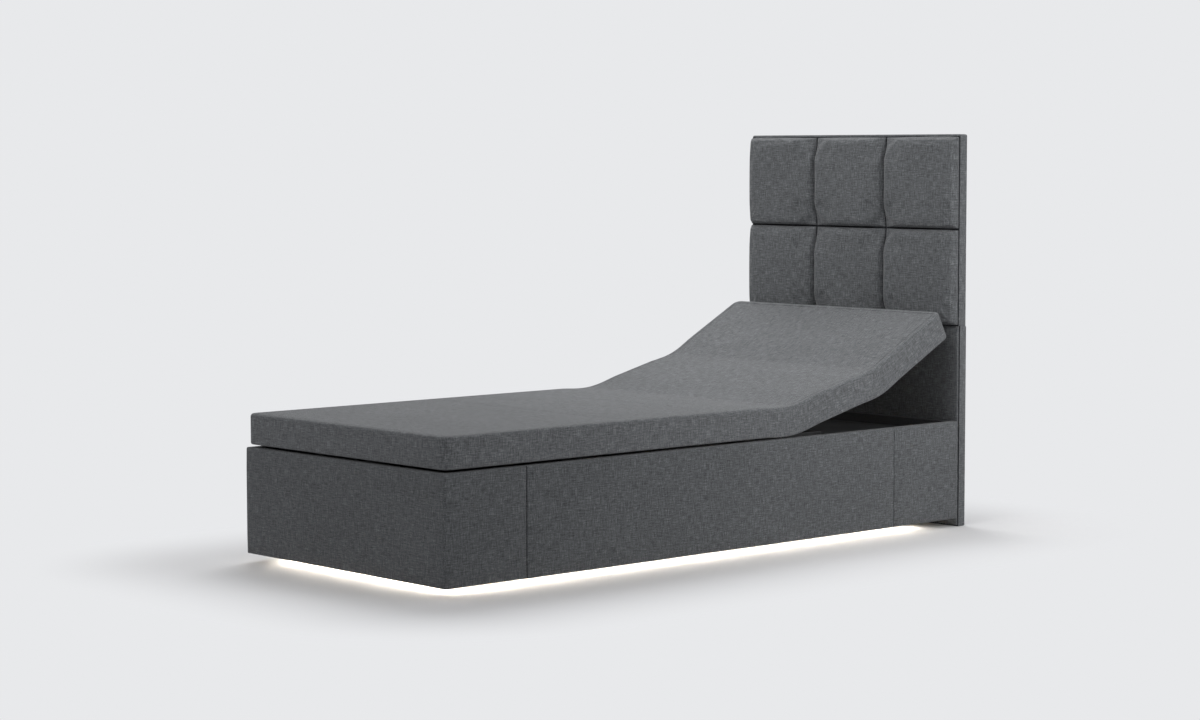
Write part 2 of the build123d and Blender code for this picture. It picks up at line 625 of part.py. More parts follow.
# Tilt rods hold the back section's angle to the seat and the lumbar section
ROD_TURN = radians(REST)
ROD_END = (
    LUMBAR_L * cos(ROD_TURN) - ROD_E * sin(2 * ROD_TURN),
    LUMBAR_L * sin(ROD_TURN) + ROD_E * cos(2 * ROD_TURN),
)
with BuildPart() as tilt_rod_right:
    extrude(lug(side(BACK_HINGE_Y, AXIS_Z, 0, ROD_X),
                [(0, -ROD_E, ROD_W / 2), (*ROD_END, ROD_W / 2)]), amount=ROD_T)
    with BuildSketch(side(BACK_HINGE_Y, AXIS_Z, 0, ROD_X)):
        with Locations((0, -ROD_E), ROD_END):
            Circle(ROD_EYE_R)
    extrude(amount=ROD_T)
    with BuildSketch(side(BACK_HINGE_Y, AXIS_Z, 0, ROD_X)):
        with Locations((0, -ROD_E)):
            Circle(STUD_D / 2 + FIT)
        with Locations(ROD_END):
            Circle(STUD_D / 2 + ROD_SLACK)
    extrude(amount=ROD_T, mode=Mode.SUBTRACT)
save(tilt_rod_right, "tilt_rod_right")

# Calf links keep the calf section near level as the thigh section lifts
with BuildPart() as calf_link_right:
    link_run = (CALF_STUD_Y - LINK_Y, CALF_STUD_Z - LINK_Z)
    extrude(lug(side(LINK_Y, LINK_Z, 0, LINK_X), [(0, 0, LINK_R), (*link_run, LINK_R - 1)],
                [(0, 0, LINK_STUD_D / 2 + FIT), (*link_run, LINK_STUD_D / 2 + LINK_SLACK)]), amount=LINK_T)
save(calf_link_right, "calf_link_right")

# Chassis rails carry the seat, the shaft bearings and the link studs
with BuildPart() as chassis_rail_right:
    with BuildSketch(section(CHASSIS_FOOT_Y, TOP_BOARD_Z + CHASSIS_H / 2, 0, 0, CHASSIS_X + CHASSIS_W / 2)):
        RectangleRounded(CHASSIS_W, CHASSIS_H, 3)
        RectangleRounded(CHASSIS_W - 5, CHASSIS_H - 5, 1, mode=Mode.SUBTRACT)
    extrude(amount=CHASSIS_HEAD_Y - CHASSIS_FOOT_Y)
    low = TOP_BOARD_Z + CHASSIS_H / 2 - SHAFT_Z
    for bearing_y in (BACK_SHAFT_Y, LEG_SHAFT_Y):
        extrude(lug(side(bearing_y, SHAFT_Z, 0, CHASSIS_OUT - PLATE_T),
                    [(0, 0, ARM_HUB_R + 1), (-38, low, CHASSIS_EAR_R), (38, low, CHASSIS_EAR_R)],
                    [(0, 0, SHAFT_D / 2 + FIT)]), amount=PLATE_T)
    extrude(lug(side(LINK_Y, LINK_Z, 0, CHASSIS_OUT - PLATE_T),
                [(0, 0, LINK_R), (-24, low, CHASSIS_EAR_R), (24, low, CHASSIS_EAR_R)]), amount=PLATE_T)
    with BuildSketch(side(LINK_Y, LINK_Z, 0, CHASSIS_OUT)):
        Circle(LINK_STUD_D / 2)
    extrude(amount=LINK_X + LINK_T + 2 - CHASSIS_OUT)
    for seat_y in (THIGH_HINGE_Y + 50, BACK_HINGE_Y - 50):
        with BuildSketch(side(seat_y, TOP_BOARD_Z + CHASSIS_H, 0, CHASSIS_X + 4)):
            with Locations((0, (AXIS_Z - RAIL_H / 2 - TOP_BOARD_Z - CHASSIS_H) / 2)):
                RectangleRounded(OUTRIGGER_L, AXIS_Z - RAIL_H / 2 - TOP_BOARD_Z - CHASSIS_H, 2)
        extrude(amount=OUTER_X - CHASSIS_X - 6)
save(chassis_rail_right, "chassis_rail_right")

for name, right in (
    ("seat_rail", seat_rail_right),
    ("lumbar_rail", lumbar_rail_right),
    ("back_rail", back_rail_right),
    ("thigh_rail", thigh_rail_right),
    ("calf_rail", calf_rail_right),
    ("tilt_rod", tilt_rod_right),
    ("calf_link", calf_link_right),
    ("chassis_rail", chassis_rail_right),
):
    with BuildPart() as left_piece:
        mirror(right.part, about=Plane.YZ)
    save(left_piece, f"{name}_left")

# Twin drive: one closed housing hung on both shafts, a motor can on each side
with BuildPart() as drive_housing:
    with BuildSketch(side(LEG_SHAFT_Y, SHAFT_Z, 0, -DRIVE_W / 2)):
        span = BACK_SHAFT_Y - LEG_SHAFT_Y
        for u, z, radius in ((0, 0, DRIVE_R), (span, 0, DRIVE_R), (70, DRIVE_LOW_Z - SHAFT_Z + 20, 20),
                             (span - 70, DRIVE_LOW_Z - SHAFT_Z + 20, 20)):
            with Locations((u, z)):
                Circle(radius)
        make_hull()
    extrude(amount=DRIVE_W)
    fillet(drive_housing.faces().sort_by(Axis.X)[0].edges(), 8)
    fillet(drive_housing.faces().sort_by(Axis.X)[-1].edges(), 8)
    with BuildSketch(side((LEG_SHAFT_Y + BACK_SHAFT_Y) / 2, SHAFT_Z - 45, 0, DRIVE_W / 2)):
        with Locations((-70, 0)):
            Circle(MOTOR_D / 2)
    extrude(amount=MOTOR_L, taper=2)
    with BuildSketch(side((LEG_SHAFT_Y + BACK_SHAFT_Y) / 2, SHAFT_Z - 45, 0, -DRIVE_W / 2)):
        with Locations((70, 0)):
            Circle(MOTOR_D / 2)
    extrude(amount=-MOTOR_L, taper=2)
    fillet(drive_housing.faces().sort_by(Axis.X)[0].edges(), 10)
    fillet(drive_housing.faces().sort_by(Axis.X)[-1].edges(), 10)
    with BuildSketch(side(LEG_SHAFT_Y, SHAFT_Z, 0, -DRIVE_W / 2)):
        with Locations((0, 0), (span, 0)):
            Circle(SHAFT_D / 2 + FIT)
    extrude(amount=DRIVE_W, mode=Mode.SUBTRACT)
    with BuildSketch(side((LEG_SHAFT_Y + BACK_SHAFT_Y) / 2, SHAFT_Z - 50, 0, DRIVE_W / 2)):
        with Locations((80, 0)):
            SlotOverall(22, 12)
    extrude(amount=-14, mode=Mode.SUBTRACT)
save(drive_housing, "drive_housing")
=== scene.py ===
"""Looks of an upholstered adjustable bed base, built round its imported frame.

Metres. X across the bed, Y from foot to head, Z up; the floor is Z = 0.
"""

import json
from math import cos, pi, radians, sin, sqrt

import bmesh
import bpy
from bpy.props import FloatProperty, FloatVectorProperty, IntProperty, PointerProperty
from mathutils import Matrix, Vector


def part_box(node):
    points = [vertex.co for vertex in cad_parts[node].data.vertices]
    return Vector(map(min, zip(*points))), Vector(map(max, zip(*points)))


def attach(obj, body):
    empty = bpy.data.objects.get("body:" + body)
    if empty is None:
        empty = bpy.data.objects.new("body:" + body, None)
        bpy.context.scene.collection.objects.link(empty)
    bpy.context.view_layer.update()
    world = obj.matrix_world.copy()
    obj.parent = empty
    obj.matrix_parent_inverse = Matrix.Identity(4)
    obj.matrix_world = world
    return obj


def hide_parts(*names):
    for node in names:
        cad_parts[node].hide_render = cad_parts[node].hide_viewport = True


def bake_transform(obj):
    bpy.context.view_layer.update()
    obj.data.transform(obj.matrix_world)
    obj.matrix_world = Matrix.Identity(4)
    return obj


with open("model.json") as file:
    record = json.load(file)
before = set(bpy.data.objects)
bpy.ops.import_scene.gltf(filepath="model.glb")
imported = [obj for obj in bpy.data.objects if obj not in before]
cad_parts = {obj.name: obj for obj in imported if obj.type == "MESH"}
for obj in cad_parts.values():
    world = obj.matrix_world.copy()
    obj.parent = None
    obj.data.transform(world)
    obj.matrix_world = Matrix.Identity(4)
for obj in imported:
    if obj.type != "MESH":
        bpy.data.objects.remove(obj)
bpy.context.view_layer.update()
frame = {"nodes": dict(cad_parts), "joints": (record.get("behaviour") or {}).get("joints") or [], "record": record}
JOINTS = {joint["name"]: joint for joint in frame["joints"]}
SLOTS = {part["node"]: part["material_slot"] for part in frame["record"]["subparts"]}

bl_info = {
    "name": "Upholstered Adjustable Bed Base",
    "version": (1, 0, 0),
    "blender": (4, 5, 0),
    "location": "View3D > Sidebar > Bed Base",
    "description": "Dresses the frame of an adjustable bed base with fabric, pads, fittings and a studio",
    "category": "Object",
}

# Sizes of the frame
HALF_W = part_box("foot_panel")[1].x
FOOT_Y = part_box("foot_panel")[0].y
RIM_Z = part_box("foot_panel")[1].z
GAP_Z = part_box("foot_panel")[0].z
PANEL_T = HALF_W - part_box("head_panel")[1].x
BASE_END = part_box("head_panel")[1].y
DECK_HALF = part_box("seat_cover")[1].x
DECK_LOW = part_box("seat_cover")[0].z
DECK_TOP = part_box("seat_cover")[1].z
DECK_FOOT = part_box("calf_cover")[0].y
DECK_HEAD_GAP = 0.006
DECK_HEAD = BASE_END - DECK_HEAD_GAP
REST_TURN = radians(-JOINTS["lumbar_hinge"]["range_deg"][0])

# Upholstery: slack of the tests, rolled edges, cut of the cloth, crown of the foam, fold of the deck
TOUCH = 1e-4
FACE_SLACK = 0.0005
ROLL_SEGMENTS = 5
BOARD_SEGMENTS = 4
BOARD_STEP = 0.001
CLOTH_CUT_ACROSS = 1.7
CLOTH_CUT_UP = 1.3
CROWN_CURVE = 0.6
FOLD_ROUNDS = 30

# Pads: starting block, crown lost at edges and at pulled corners, held cloth in seam depths
PAD_BLANK = 0.012
PAD_CUTS = 62
PAD_DOME = 0.09
PAD_CORNER_DIP = 0.7
PAD_HELD = 1.2

# Light strips and studio; tilt and turn in degrees
LAMP_PITCH = 0.02
FLOOR_R = 14.0
FLOOR_DROP = 0.0004
CAMERA_PLACE = (5.8639, -5.3561, 1.1525)
CAMERA_TILT = 4.37
CAMERA_TURN = 46.994
CAMERA_LENS = 80.694
CAMERA_SHIFT = -0.0417
LAMPS = (
    # Name, place, aim, size, watts and spread in degrees
    ("key_side", (2.8, 1.1, 1.3), (0, 0.7, 0.7), (1.6, 1.2), 8, 80),
    ("back_top", (-2.2, 1.3, 4.2), (0, -0.3, 0), (2.6, 2.6), 95, 180),
    ("front_high", (0.3, -0.8, 2.4), (0, 1.0, 0.9), (1.6, 1.0), 4.5, 70),
)


def linear(code):
    """Linear colour of a written sRGB code."""
    parts = [int(code[i:i + 2], 16) / 255 for i in (0, 2, 4)]
    return [p / 12.92 if p <= 0.04045 else ((p + 0.055) / 1.055) ** 2.4 for p in parts]


def colour(label, about, code):
    return FloatVectorProperty(
        name=label, description=about, subtype="COLOR", min=0, max=1, default=linear(code))


def length(label, about, value):
    return FloatProperty(
        name=label, description=about, subtype="DISTANCE", unit="LENGTH", min=0, default=value)


def share(label, about, value):
    return FloatProperty(name=label, description=about, subtype="FACTOR", min=0, max=1, default=value)


class FabricLook(bpy.types.PropertyGroup):
    # One fabric in three tones: the headboard's and the deck's are lighter than the surround's as painted light,
    # for the stronger light they catch
    surround: colour("Surround", "Middle tone of the surround's yarn", "595b5d")
    headboard: colour("Headboard", "Middle tone of the headboard's yarn", "5c5e60")
    deck: colour("Deck", "Middle tone of the deck's yarn", "636567")
    # The lining's tone is also painted shade: it covers the board's front behind the pads, so the seams between
    # them show dark.
    lining: colour("Lining", "Lining on the headboard's back", "26272a")
    yarn: length("Yarn Pitch", "Distance from one yarn to the next", 0.0017)
    heather: share("Heather", "How far the flecks leave the middle tone", 0.66)


class SurroundSizes(bpy.types.PropertyGroup):
    corner: length("Corner", "Radius of the foot corners", 0.006)
    rim: length("Rim", "Roll of the fabric over the rim", 0.007)
    hem: length("Hem", "Roll of the lower edge", 0.0012)
    seam: length("Seam", "Roll of the fabric into the panel seams", 0.0028)
    end: length("End", "Roll of the fabric into the joint with the headboard", 0.005)
    crown: length("Crown", "Rise of the foam between the seams", 0.0012)
    crown_run: length("Crown Run", "Length over which the foam rises from a seam", 0.05)
    crown_edge: length("Crown Edge", "Height over which the foam rises from the rim and the hem", 0.03)
    grid: length("Grid", "Spacing of the mesh on the panels", 0.045)
    margin: length("Margin", "Distance of the mesh from the foot corners", 0.03)
    clear: length("Clear", "Distance of the mesh from the rolled edges", 0.004)


class DeckSizes(bpy.types.PropertyGroup):
    border: length("Border", "Thickness of the padded border", 0.026)
    top: length("Top", "Thickness of the padded top", 0.010)
    corner: length("Corner", "Plan radius of the foot and head corners", 0.026)
    roll: length("Roll", "Radius along the top edge", 0.009)
    hem: length("Hem", "Radius along the lower edge", 0.006)
    seam: length("Seam", "Distance of the sewn line from the top edge", 0.007)
    stitch: length("Stitch", "Depth of the sewn line", 0.0016)
    crease: length("Crease", "Depth of the folds over the hinges", 0.0022)
    crease_half: length("Crease Half", "Half the width of the folds over the hinges", 0.022)
    crease_end: length("Crease End", "Distance of the folds from the deck's sides", 0.02)
    crease_layer: length("Crease Layer", "Depth below the top that the folds move", 0.003)
    station: length("Station", "Spacing of the mesh along the deck", 0.012)
    column: length("Column", "Spacing of the mesh across the deck", 0.09)
    end_margin: length("End Margin", "Distance of the mesh from the deck's ends", 0.027)
    side_margin: length("Side Margin", "Distance of the mesh from the deck's sides", 0.03)
    back_fold: length("Back Fold", "Length that bends at the lower back hinge", 0.24)
    head_fold: length("Head Fold", "Length that bends at the upper back hinge", 0.20)
    leg_fold: length("Leg Fold", "Length that bends at the thigh and knee hinges", 0.15)


class HeadboardSizes(bpy.types.PropertyGroup):
    roll: length("Pad Roll", "Width of the roll from the middle of a pad's seam to its face", 0.005)
    side: length("Side Roll", "Width of the roll along the headboard's sides", 0.012)
    slack: length("Corner Slack", "Width that the roll gains towards the pad's corners", 0.095)
    outer: share("Outer Pull", "Share of the slack and pinch at the headboard's sides", 0.1)
    proud: length("Proud", "Height that the cloth starts above the pad's solid", 0.005)
    reach: length("Slack Reach", "Length over which the slack grows towards a corner", 0.08)
    pinch: length("Corner Pinch", "Length over which the seams pull the pad's corners down", 0.06)
    seam: length("Seam Depth", "Height of the sewn edge above the board", 0.006)
    valley: length("Valley", "Distance of a pad's sewn edge from the edge of its place", 0.0022)
    swell: length("Swell", "Most that the filling may move the cloth", 0.003)
    wadding: length("Wadding", "Padding over the board's top edge, above the pads", 0.006)
    board_corner: length("Board Corner", "Radius of the board's two top corners", 0.007)
    board_back: length("Board Back", "Roll of the fabric round the board's back edges", 0.005)
    board_front: length("Board Front", "Roll of the fabric round the board's front edges", 0.004)
    turn_in: length("Turn In", "Width of the fabric turned in round the back", 0.022)
    lining_edge: length("Lining Edge", "Width of the lining's tucked edge", 0.0012)
    lining_drop: length("Lining Drop", "Depth of the lining below the turned fabric", 0.0009)
    gap: length("Side Gap", "Distance of the lower panel from the board's sides", 0.004)
    panel_roll: length("Panel Roll", "Roll of the lower panel's edges", 0.003)
    panel_grid: length("Panel Grid", "Spacing of the mesh on the lower panel", 0.06)
    voxel: length("Voxel", "Mesh size of the pads", 0.004)
    steps: IntProperty(
        name="Steps", description="Steps of the cloth as it fills", min=4, max=60, default=20)


class StageLook(bpy.types.PropertyGroup):
    floor: colour("Floor", "Pale studio floor", "e2e2e3")
    backdrop: colour("Backdrop", "Pale backdrop", "e8e9eb")
    shadow_start: length("Shadow Start", "Distance from the base at which the floor starts to clear", 0.1)
    shadow_end: length("Shadow End", "Distance at which the floor is as pale as the backdrop", 0.62)
    bounce: FloatVectorProperty(
        name="Bounce", description="Floor as the base sees it", subtype="COLOR",
        min=0, max=1, default=(0.62, 0.62, 0.63))
    sky: FloatVectorProperty(
        name="Sky", description="Colour of the soft light all round", subtype="COLOR",
        min=0, max=1, default=(0.98, 0.985, 1.0))
    sky_strength: FloatProperty(
        name="Sky Strength", description="Strength of the soft light all round", min=0, default=0.58)
    glow: FloatProperty(name="Glow", description="Strength of the light strips", min=0, default=47.0)


# Shader maths


class Wire:
    """A socket's value; arithmetic on it adds Math nodes to its finish."""

    def __init__(self, finish, socket):
        self.finish = finish
        self.socket = socket

    def part(self, name):
        """Another output of the same node."""
        return Wire(self.finish, self.socket.node.outputs[name])

    def __add__(self, other):
        return self.finish.maths("ADD", self, other)

    def __sub__(self, other):
        return self.finish.maths("SUBTRACT", self, other)

    def __rsub__(self, other):
        return self.finish.maths("SUBTRACT", other, self)

    def __mul__(self, other):
        return self.finish.maths("MULTIPLY", self, other)


class Finish:
    """A procedural material round one Principled shader."""

    def __init__(self, name, **constants):
        self.material = bpy.data.materials.new(name)
        self.material.use_nodes = True
        self.nodes = self.material.node_tree.nodes
        self.shader = self.nodes["Principled BSDF"]
        for socket, value in constants.items():
            self.shader.inputs[socket.replace("_", " ")].default_value = value

    def plug(self, socket, value):
        if isinstance(value, Wire):
            self.material.node_tree.links.new(value.socket, socket)
        else:
            socket.default_value = value

    def node(self, kind, settings=None, inputs=None, output=0):
        """One node: its settings first, then the values or links of its sockets."""
        new = self.nodes.new(kind)
        for key, value in (settings or {}).items():
            if key == "stops":
                ramp = new.color_ramp
                while len(ramp.elements) < len(value):
                    ramp.elements.new(0.5)
                for stop, (place, shade) in zip(ramp.elements, value):
                    stop.position = place
                    stop.color = (*shade, 1)
            else:
                setattr(new, key, value)
        for key, value in (inputs or {}).items():
            self.plug(new.inputs[key], value)
        return Wire(self, new.outputs[output])

    def maths(self, operation, a, b=0.0, clamp=False):
        return self.node("ShaderNodeMath", {"operation": operation, "use_clamp": clamp}, {0: a, 1: b})

    def vector(self, x, y, z=0.0):
        return self.node("ShaderNodeCombineXYZ", None, {0: x, 1: y, 2: z})

    def noise(self, where, scale, detail=2.0, roughness=0.5):
        return self.node("ShaderNodeTexNoise", None,
                         {"Vector": where, "Scale": scale, "Detail": detail, "Roughness": roughness})

    def ramp(self, factor, stops):
        return self.node("ShaderNodeValToRGB", {"stops": stops}, {0: factor})

    def blend(self, factor, a, b, kind="MIX"):
        settings = {"data_type": "RGBA", "blend_type": kind}
        return self.node("ShaderNodeMix", settings, {0: factor, 6: a, 7: b}, 2)

    def grey(self, value):
        """A value as a grey colour."""
        return self.node("ShaderNodeCombineColor", None, {0: value, 1: value, 2: value})

    def place(self, output="Object"):
        return self.node("ShaderNodeTexCoord", None, None, output)

    def bump(self, height, strength, distance):
        return self.node("ShaderNodeBump", None,
                         {"Strength": strength, "Distance": distance, "Height": height})

    def feed(self, **wires):
        """Links what changes over the surface to the shader."""
        for socket, wire in wires.items():
            self.plug(self.shader.inputs[socket.replace("_", " ")], wire)
        return self.material


def shade(tone, factor):
    return [min(1.0, part * factor) for part in tone]


def heathered_weave(name, tone, look):
    """Plain weave of mixed charcoal yarns, on the piece's own UV map in metres."""
    cloth = Finish(name, Specular_IOR_Level=0.22, Sheen_Weight=0.18, Sheen_Roughness=0.45)
    flat = cloth.node("ShaderNodeSeparateXYZ", None, {0: cloth.place("UV")})
    u = flat
    v = flat.part("Y")
    warp = cloth.maths("SINE", u * (pi / look.yarn))
    weft = cloth.maths("SINE", v * (pi / look.yarn))
    over = cloth.maths("ADD", warp * weft * 1.6, 0.5, clamp=True)
    warp_top = cloth.maths("ABSOLUTE", warp)
    weft_top = cloth.maths("ABSOLUTE", weft)
    height = over * warp_top + (1 - over) * weft_top
    warp_yarn = cloth.noise(cloth.vector(u * 560, v * 42), 1.0, 2.0, 0.6)
    weft_yarn = cloth.noise(cloth.vector(u * 42, v * 560, 7.0), 1.0, 2.0, 0.6)
    fleck = over * warp_yarn + (1 - over) * weft_yarn
    warp_slub = cloth.noise(cloth.vector(u * 330, v * 34), 1.0, 3.0, 0.6)
    weft_slub = cloth.noise(cloth.vector(u * 34, v * 330, 5.0), 1.0, 3.0, 0.6)
    mottle = cloth.noise(cloth.vector(u, v), 240.0, 3.0, 0.65)
    cloud = cloth.noise(cloth.vector(u, v, 3.0), 5.0, 3.0, 0.55)
    tone_mix = fleck * 0.25 + (warp_slub + weft_slub) * 0.28 + mottle * 0.19
    spread = look.heather
    yarn = cloth.ramp(tone_mix, (
        (0.38, shade(tone, 1 - 0.95 * spread)),
        (0.465, shade(tone, 1 - 0.34 * spread)),
        (0.535, shade(tone, 1 + 0.34 * spread)),
        (0.64, shade(tone, 1 + 2.2 * spread)),
    ))
    # Painted shade: the yarns lower in the weave are darker; the cloud is real tone that varies at random over
    # large areas
    depth = (height * 0.26 + 0.80) * (cloud * 0.30 + 0.85)
    hue = cloth.blend(1.0, yarn, cloth.grey(depth), "MULTIPLY")
    relief = height * 0.8 + fleck * 0.6 + (warp_slub + weft_slub) * 0.2
    return cloth.feed(
        Base_Color=hue,
        Roughness=fleck * 0.16 + 0.78,
        Normal=cloth.bump(relief, 0.5, 0.0011),
    )


def felt_lining_and_painted_seam_shade(tone):
    """Thin non-woven lining with pressed dimples, also laid as painted shade on the board's front behind the pads.
    """
    felt = Finish("lining_felt_and_painted_seam_shade", Specular_IOR_Level=0.2)
    where = felt.place("UV")
    dimple = felt.node("ShaderNodeTexVoronoi", None, {"Vector": where, "Scale": 420.0}, "Distance")
    fibre = felt.noise(where, 900.0, 3.0, 0.7)
    tint = felt.ramp(fibre, ((0.3, shade(tone, 0.7)), (0.7, shade(tone, 1.5))))
    relief = felt.bump(dimple + fibre * 0.4, 0.5, 0.0006)
    return felt.feed(Base_Color=tint, Roughness=fibre * 0.2 + 0.75, Normal=relief)


def laminated_board():
    board = Finish("laminate_dark", Specular_IOR_Level=0.35)
    where = board.place()
    grain = board.noise(where, 340.0, 4.0, 0.6)
    haze = board.noise(where, 7.0, 3.0)
    tint = board.ramp(grain * 0.6 + haze * 0.4, ((0.35, linear("303133")), (0.5, linear("3d3e40")),
                                                 (0.68, linear("494a4c"))))
    relief = board.bump(grain, 0.25, 0.0004)
    return board.feed(Base_Color=tint, Roughness=grain * 0.2 + 0.5, Normal=relief)


def birch_plywood():
    """Rotary-cut face veneer with long figure and fine pores."""
    ply = Finish("birch_plywood", Specular_IOR_Level=0.35)
    where = ply.place()
    axes = ply.node("ShaderNodeSeparateXYZ", None, {0: where})
    drawn = ply.vector(axes * 3.0, axes.part("Y") * 42.0, axes.part("Z") * 42.0)
    figure = ply.noise(drawn, 1.0, 5.0, 0.62)
    pore = ply.noise(ply.vector(axes * 60.0, axes.part("Y") * 900.0, axes.part("Z") * 900.0), 1.0, 2.0)
    veneer = ply.ramp(figure * 0.8 + pore * 0.2, ((0.36, linear("a5834f")), (0.5, linear("c4a271")),
                                                  (0.66, linear("d6bb8e"))))
    relief = ply.bump(figure + pore, 0.3, 0.0004)
    return ply.feed(Base_Color=veneer, Roughness=figure * 0.2 + 0.5, Normal=relief)


def powder_coat():
    coat = Finish("black_powder_coat", Specular_IOR_Level=0.45)
    where = coat.place()
    peel = coat.noise(where, 650.0, 2.0, 0.5)
    dust = coat.noise(where, 14.0, 4.0, 0.6)
    tint = coat.ramp(dust, ((0.35, linear("191a1b")), (0.7, linear("2a2b2d"))))
    return coat.feed(Base_Color=tint, Roughness=dust * 0.22 + 0.34, Normal=coat.bump(peel, 0.22, 0.0005))


def zinc_plate():
    zinc = Finish("zinc_plate", Metallic=1.0)
    where = zinc.place()
    spangle = zinc.node("ShaderNodeTexVoronoi", None, {"Vector": where, "Scale": 160.0}, "Color")
    cell = zinc.node("ShaderNodeSeparateColor", None, {0: spangle})
    haze = zinc.noise(where, 55.0, 3.0)
    tint = zinc.ramp(cell * 0.4 + haze * 0.6, ((0.25, linear("9fa3a8")), (0.6, linear("c3c6c8")),
                                               (0.85, linear("d2cfbe"))))
    return zinc.feed(Base_Color=tint, Roughness=haze * 0.25 + 0.22, Normal=zinc.bump(haze, 0.1, 0.0003))


def moulded_plastic(name, low, high, scale):
    mould = Finish(name, Specular_IOR_Level=0.4)
    where = mould.place()
    spark = mould.noise(where, scale, 2.0, 0.6)
    rub = mould.noise(where, 11.0, 3.0)
    tint = mould.ramp(rub, ((0.3, linear(low)), (0.75, linear(high))))
    relief = mould.bump(spark, 0.3, 0.0005)
    return mould.feed(Base_Color=tint, Roughness=spark * 0.25 + 0.38, Normal=relief)


def lit_diffuser(strength):
    """Frosted strip with a warm glow and faint lamp spots, unlit where its channel holds it."""
    glow = Finish("lit_diffuser", Roughness=0.4, Emission_Strength=strength)
    axes = glow.node("ShaderNodeSeparateXYZ", None, {0: glow.place()})
    lamps = glow.maths("SINE", (axes + axes.part("Y")) * (2 * pi / LAMP_PITCH))
    spot = lamps * 0.5 + 0.5
    warm = glow.ramp(spot, ((0.0, linear("fff3e2")), (1.0, linear("fff9ee"))))
    facing = glow.node("ShaderNodeSeparateXYZ", None, {0: glow.place("Normal")})
    down = glow.maths("MAXIMUM", facing.part("Z") * -1)
    sideways = glow.maths("MAXIMUM", facing * glow.maths("SIGN", axes))
    footwards = glow.maths("MAXIMUM", facing.part("Y") * -1)
    lit = glow.maths("MINIMUM", down + sideways + footwards, 1.0)
    return glow.feed(Base_Color=warm, Emission_Color=glow.blend(lit, (0, 0, 0, 1), warm))


FINISHES = {}


def finish(name):
    """A finish by its record slot, made once."""
    if name not in FINISHES:
        look = bpy.context.scene.bed_fabric
        makers = {
            "surround_fabric": lambda: heathered_weave("surround_weave", look.surround, look),
            # Headboard and deck: the surround's weave with its tone raised as painted light
            "headboard_fabric": lambda: heathered_weave("headboard_weave_painted_lighter", look.headboard, look),
            "deck_fabric": lambda: heathered_weave("deck_weave_painted_lighter", look.deck, look),
            # The lining also serves as painted shade behind the headboard's pads
            "lining": lambda: felt_lining_and_painted_seam_shade(look.lining),
            "dark_board": laminated_board,
            "plywood": birch_plywood,
            "black_steel": powder_coat,
            "zinc_steel": zinc_plate,
            "drive_plastic": lambda: moulded_plastic("drive_moulding", "17181a", "26272a", 900.0),
            "glide_plastic": lambda: moulded_plastic("glide_moulding", "121213", "1e1f20", 1400.0),
            "light_diffuser": lambda: lit_diffuser(bpy.context.scene.bed_stage.glow),
        }
        FINISHES[name] = makers[name]()
    return FINISHES[name]


# Modelling helpers


def block(name, low, high):
    """A cube primitive from corner to corner, with its place in its mesh."""
    bpy.ops.object.select_all(action="DESELECT")
    low, high = Vector(low), Vector(high)
    bpy.ops.mesh.primitive_cube_add(size=1, location=(low + high) / 2)
    piece = bpy.context.object
    piece.name = name
    piece.data.name = name
    piece.scale = high - low
    bpy.ops.object.transform_apply(location=True, rotation=True, scale=True)
    return piece


def copy(piece, name):
    """A copy with its own mesh."""
    bpy.ops.object.select_all(action="DESELECT")
    twin = piece.copy()
    twin.data = piece.data.copy()
    twin.name = name
    twin.data.name = name
    bpy.context.collection.objects.link(twin)
    only(twin)
    return twin


def only(piece):
    bpy.ops.object.select_all(action="DESELECT")
    piece.select_set(True)
    bpy.context.view_layer.objects.active = piece


def edit(piece, kind="FACE"):
    only(piece)
    bpy.ops.object.mode_set(mode="EDIT")
    bpy.ops.mesh.select_mode(type=kind)


def done():
    bpy.ops.object.mode_set(mode="OBJECT")


def pick_faces(piece, test):
    """Selects the faces whose middle and normal pass the test."""
    mesh = bmesh.from_edit_mesh(piece.data)
    for face in mesh.faces:
        face.select_set(False)
    for face in mesh.faces:
        if test(face.calc_center_median(), face.normal):
            face.select_set(True)
    bmesh.update_edit_mesh(piece.data)


def pick_edges(piece, test):
    """Selects the edges whose two ends pass the test."""
    mesh = bmesh.from_edit_mesh(piece.data)
    for edge in mesh.edges:
        edge.select_set(False)
    for edge in mesh.edges:
        if test(edge.verts[0].co, edge.verts[1].co):
            edge.select_set(True)
    bmesh.update_edit_mesh(piece.data)


def near(a, b):
    return abs(a - b) < TOUCH


def both(a, b, *tests):
    """Whether both ends of an edge pass every test."""
    return all(test(a) and test(b) for test in tests)


def on_rim(point):
    return near(point.z, RIM_Z)


def on_hem(point):
    return near(point.z, GAP_Z)


def apply(piece, kind, **settings):
    """One modifier with its settings, applied."""
    only(piece)
    tool = piece.modifiers.new(kind.title(), kind)
    for key, value in settings.items():
        setattr(tool, key, value)
    bpy.ops.object.modifier_apply(modifier=tool.name)


def roll_edges(piece, radii, segments):
    """Rounds edges: radii is a list of (test on both ends, radius)."""
    widest = max(radius for _, radius in radii)
    weights = piece.data.attributes.new("bevel_weight_edge", "FLOAT", "EDGE")
    points = piece.data.vertices
    for edge in piece.data.edges:
        a, b = (points[i].co for i in edge.vertices)
        for test, radius in radii:
            if test(a, b):
                weights.data[edge.index].value = radius / widest
                break
    apply(piece, "BEVEL", limit_method="WEIGHT", width=widest, segments=segments, use_clamp_overlap=False)


def slice_up(piece, axis, places):
    """Cuts the whole mesh across an axis at each place."""
    edit(piece, "VERT")
    normal = [0, 0, 0]
    normal[axis] = 1
    for place in places:
        at = [0, 0, 0]
        at[axis] = place
        bpy.ops.mesh.select_all(action="SELECT")
        bpy.ops.mesh.bisect(plane_co=at, plane_no=normal)
    done()


def steps(low, high, spacing):
    """Evenly spaced places strictly between two ends."""
    count = max(1, round((high - low) / spacing))
    return [low + (high - low) * i / count for i in range(1, count)]


